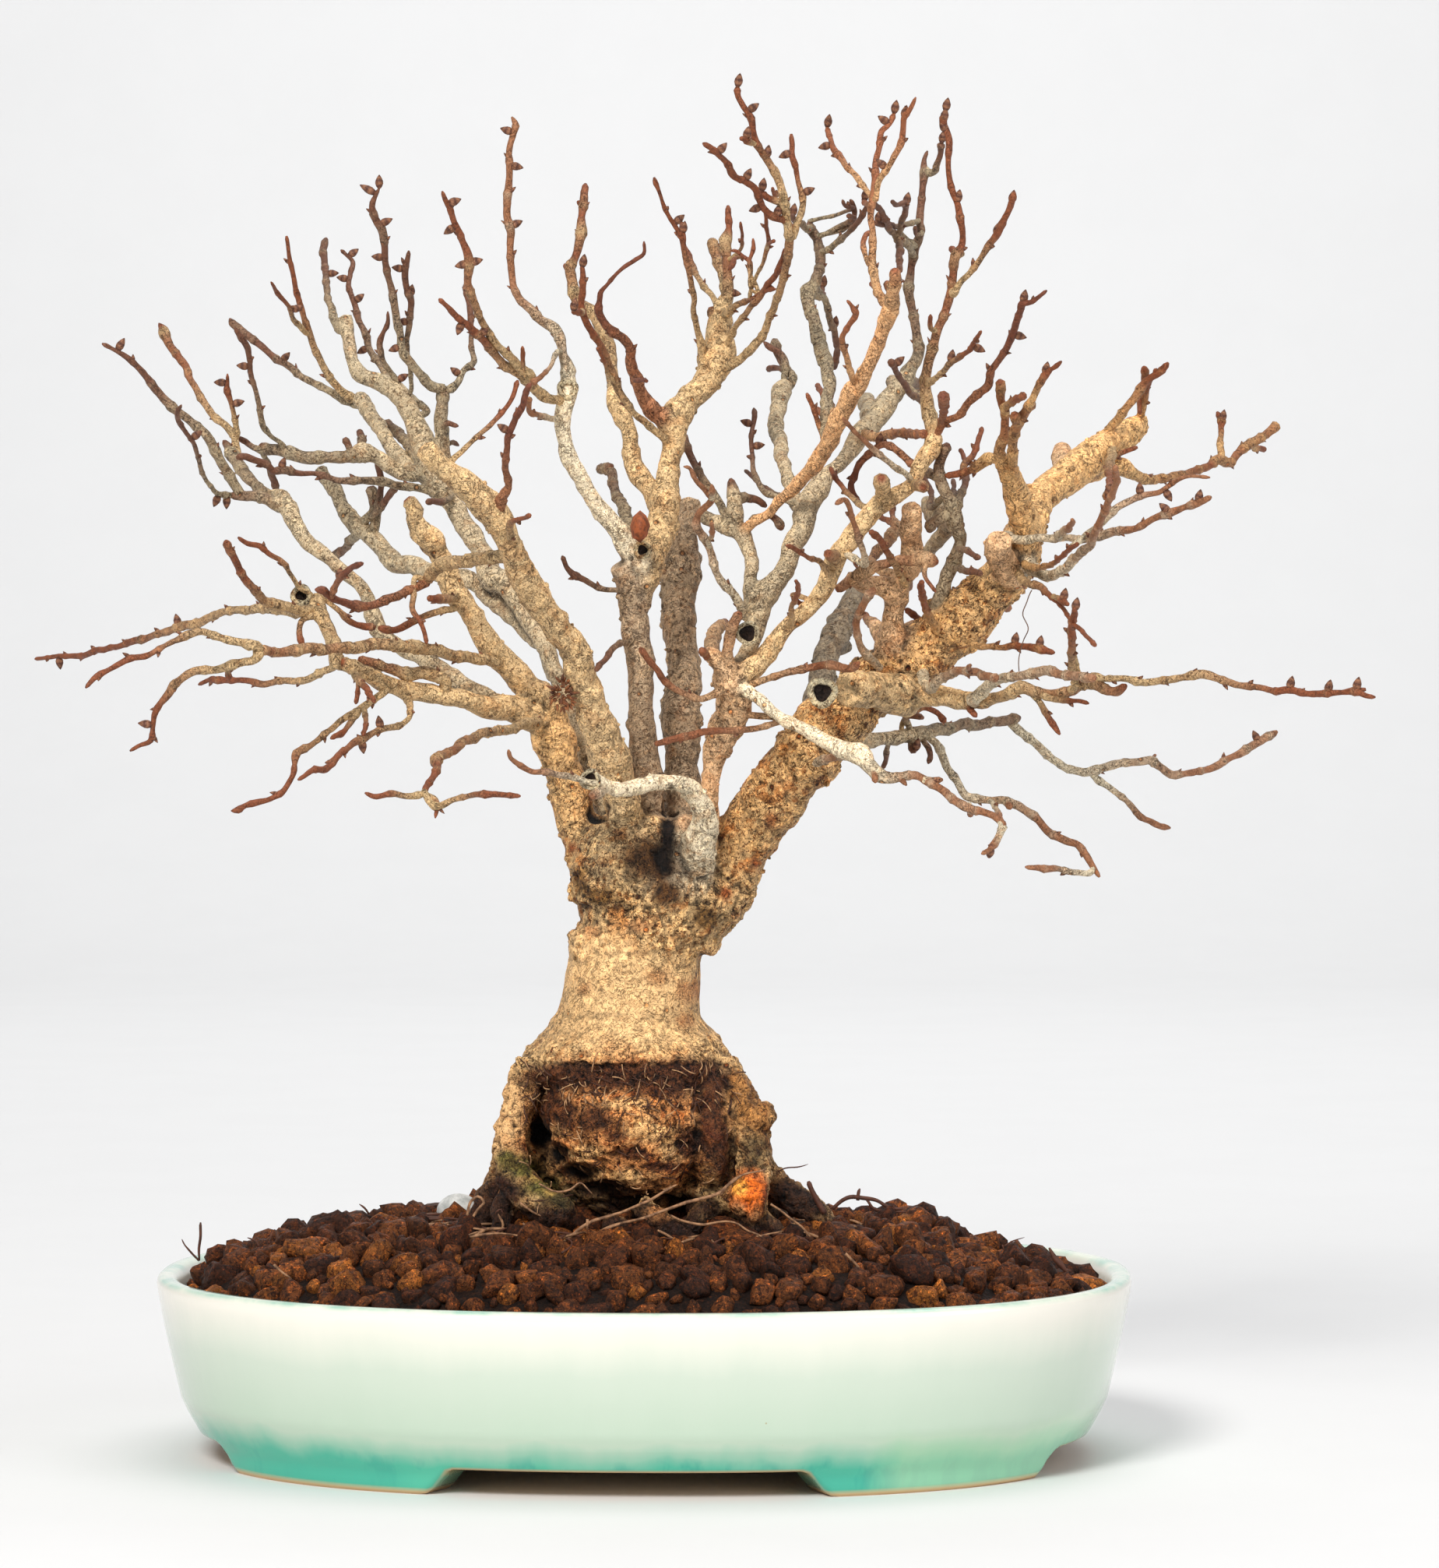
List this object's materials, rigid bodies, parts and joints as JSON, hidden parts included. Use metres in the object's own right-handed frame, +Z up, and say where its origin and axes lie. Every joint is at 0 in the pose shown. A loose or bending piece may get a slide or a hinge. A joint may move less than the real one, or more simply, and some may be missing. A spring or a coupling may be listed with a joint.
{
  "type": "japanese zelkova bonsai",
  "caption": "Leafless japanese zelkova bonsai with a swollen trunk base and a wide twiggy crown, in a glazed oval pot on low feet, with granular soil.",
  "frame": {"origin": "on the ground under the middle of the whole plant", "axes": "+Z up, +X to the right along the pot's length, -Y towards the viewer of the plant's front"},
  "size_m": [0.3417, 0.2404, 0.3452],
  "materials": {
    "bark": "dry rough bark, tan with grey bands and dark pits",
    "glaze": "glossy ceramic glaze, cream at the rim running to turquoise at the foot",
    "soil_grains": "damp fired clay grains, dark red-brown",
    "stone": "dull grey-white stone",
    "screen_plastic": "plain black plastic mesh",
    "wire": "plain drawn wire"
  },
  "bodies": {
    "root": {"tree": "bark", "pot": "glaze", "soil": "soil_grains", "pebble": "stone", "drain_screen_left": "screen_plastic", "drain_screen_right": "screen_plastic", "screen_wire_left": "wire", "screen_wire_right": "wire"}
  },
  "joints": []
}
